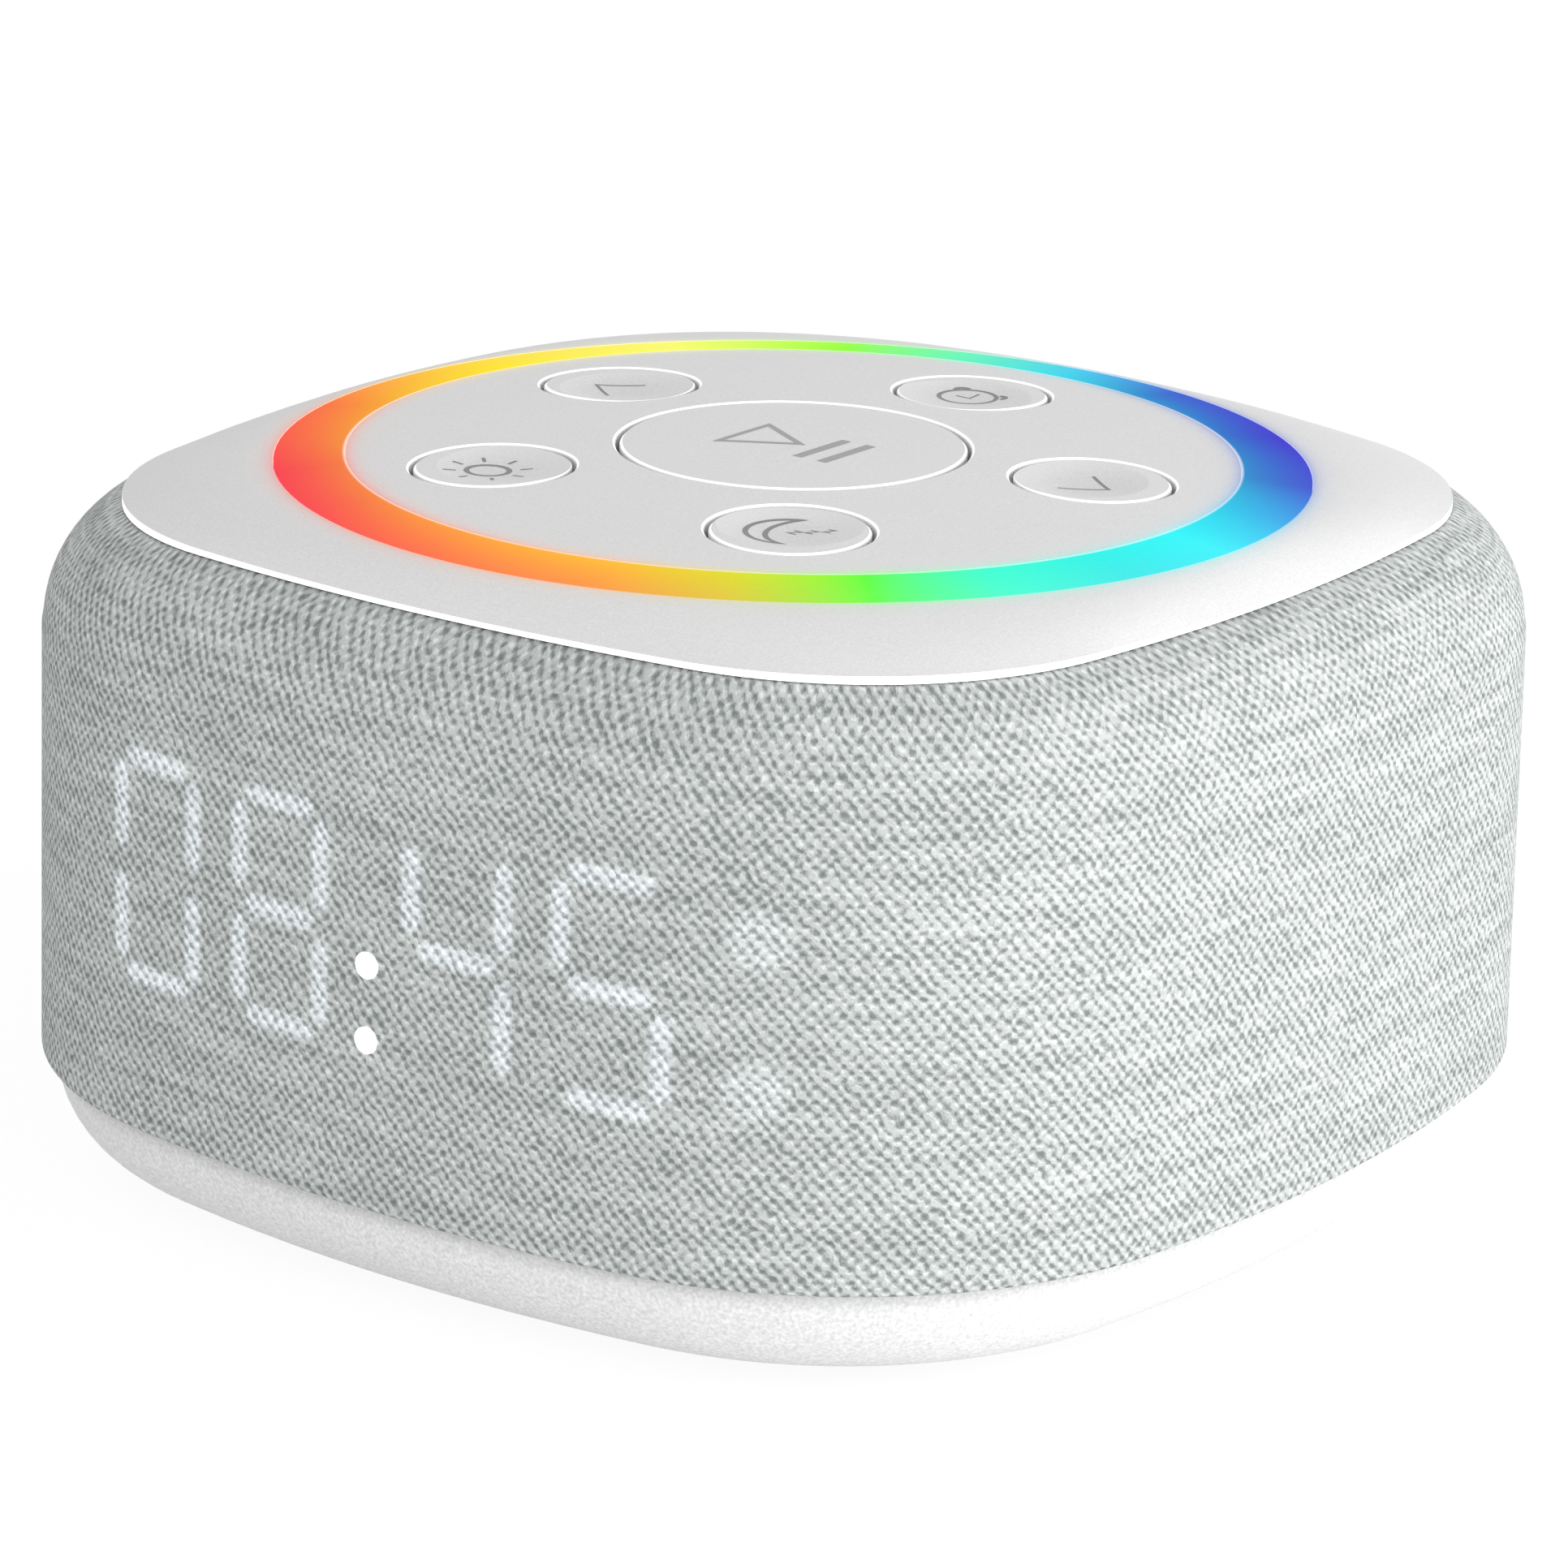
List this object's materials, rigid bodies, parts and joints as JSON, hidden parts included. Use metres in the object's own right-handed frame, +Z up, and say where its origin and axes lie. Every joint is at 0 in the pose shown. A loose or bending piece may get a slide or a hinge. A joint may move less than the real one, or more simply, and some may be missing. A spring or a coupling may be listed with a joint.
{
  "type": "white noise sound machine",
  "caption": "Bedside white noise machine with a knit-covered rounded-square body, a clock display, a coloured light ring and a round panel of push buttons.",
  "frame": {"origin": "middle of the footprint, at the height of the feet's undersides", "axes": "+Z up, the clock display faces -Y, the power socket faces +Y, +X is on the right seen from the front"},
  "size_m": [0.1, 0.1, 0.0545],
  "materials": {
    "knit_fabric": "close cool-grey knitted polyester, stretched over the frame",
    "white_plastic": "fine-grained white ABS",
    "frame_plastic": "moulded dark ABS",
    "light_diffuser": "milky translucent polycarbonate",
    "light_guide": "clear to milky polycarbonate",
    "foot_rubber": "grey silicone rubber",
    "gasket_foam": "closed-cell foam",
    "surround_rubber": "butyl rubber roll",
    "spider_cloth": "resin-treated corrugated cloth",
    "screw_steel": "zinc-plated steel",
    "circuit_board": "glass-epoxy board with green solder mask",
    "led_package": "LED package",
    "switch_plastic": "black nylon",
    "dome_steel": "sprung stainless steel",
    "plug_plastic": "natural nylon",
    "socket_steel": "tin-plated steel",
    "cell_steel": "nickel-plated steel",
    "basket_steel": "plated steel",
    "magnet_ferrite": "sintered ferrite",
    "cone_paper": "pressed paper",
    "coil_copper": "copper wire on a former",
    "cable_jacket": "PVC insulation"
  },
  "bodies": {
    "housing": {"backup_cell": "cell_steel", "baffle_screws": "screw_steel", "base_screws": "screw_steel", "base_shell": "white_plastic", "board_plugs": "plug_plastic", "cell_holder": "plug_plastic", "circuit_chips": "switch_plastic", "colon_lenses": "light_guide", "cone_spider": "spider_cloth", "cone_surround": "surround_rubber", "control_board": "circuit_board", "control_panel": "white_plastic", "control_ribbon": "cable_jacket", "digit_segments": "light_guide", "display_board": "circuit_board", "display_housing": "frame_plastic", "display_leds": "led_package", "display_ribbon": "cable_jacket", "display_screws": "screw_steel", "fabric_sleeve": "knit_fabric", "grille_frame": "frame_plastic", "light_channel": "frame_plastic", "light_ring": "light_diffuser", "magnet_washer": "basket_steel", "main_board": "circuit_board", "main_board_screws": "screw_steel", "panel_screws": "screw_steel", "pole_piece": "basket_steel", "ring_leds": "led_package", "rubber_feet": "foot_rubber", "sound_deflector": "frame_plastic", "speaker_baffle": "frame_plastic", "speaker_basket": "basket_steel", "speaker_gasket": "gasket_foam", "speaker_leads": "cable_jacket", "speaker_magnet": "magnet_ferrite", "speaker_screws": "screw_steel", "switch_bodies": "switch_plastic", "switch_domes": "dome_steel", "top_plate": "white_plastic", "usb_socket": "socket_steel"},
    "centre_key": {"centre_button": "white_plastic", "centre_plunger": "switch_plastic"},
    "lamp_key": {"lamp_button": "white_plastic", "lamp_plunger": "switch_plastic"},
    "sleep_key": {"sleep_button": "white_plastic", "sleep_plunger": "switch_plastic"},
    "alarm_key": {"alarm_button": "white_plastic", "alarm_plunger": "switch_plastic"},
    "previous_key": {"previous_button": "white_plastic", "previous_plunger": "switch_plastic"},
    "next_key": {"next_button": "white_plastic", "next_plunger": "switch_plastic"},
    "cone": {"speaker_cone": "cone_paper", "dust_cap": "cone_paper", "voice_coil": "coil_copper"}
  },
  "joints": [
    {"name": "centre_press", "type": "slide", "parent": "housing", "child": "centre_key", "axis": [0, 0, 1], "range_m": [-0.0005, 0], "stiffness_N_per_m": 1600},
    {"name": "lamp_press", "type": "slide", "parent": "housing", "child": "lamp_key", "axis": [0, 0, 1], "range_m": [-0.0005, 0], "stiffness_N_per_m": 1600},
    {"name": "sleep_press", "type": "slide", "parent": "housing", "child": "sleep_key", "axis": [0, 0, 1], "range_m": [-0.0005, 0], "stiffness_N_per_m": 1600},
    {"name": "alarm_press", "type": "slide", "parent": "housing", "child": "alarm_key", "axis": [0, 0, 1], "range_m": [-0.0005, 0], "stiffness_N_per_m": 1600},
    {"name": "previous_press", "type": "slide", "parent": "housing", "child": "previous_key", "axis": [0, 0, 1], "range_m": [-0.0005, 0], "stiffness_N_per_m": 1600},
    {"name": "next_press", "type": "slide", "parent": "housing", "child": "next_key", "axis": [0, 0, 1], "range_m": [-0.0005, 0], "stiffness_N_per_m": 1600},
    {"name": "cone_travel", "type": "slide", "parent": "housing", "child": "cone", "axis": [0, 0, 1], "range_m": [-0.001, 0.001], "stiffness_N_per_m": 1200, "deforming": ["cone_surround", "cone_spider"]}
  ]
}
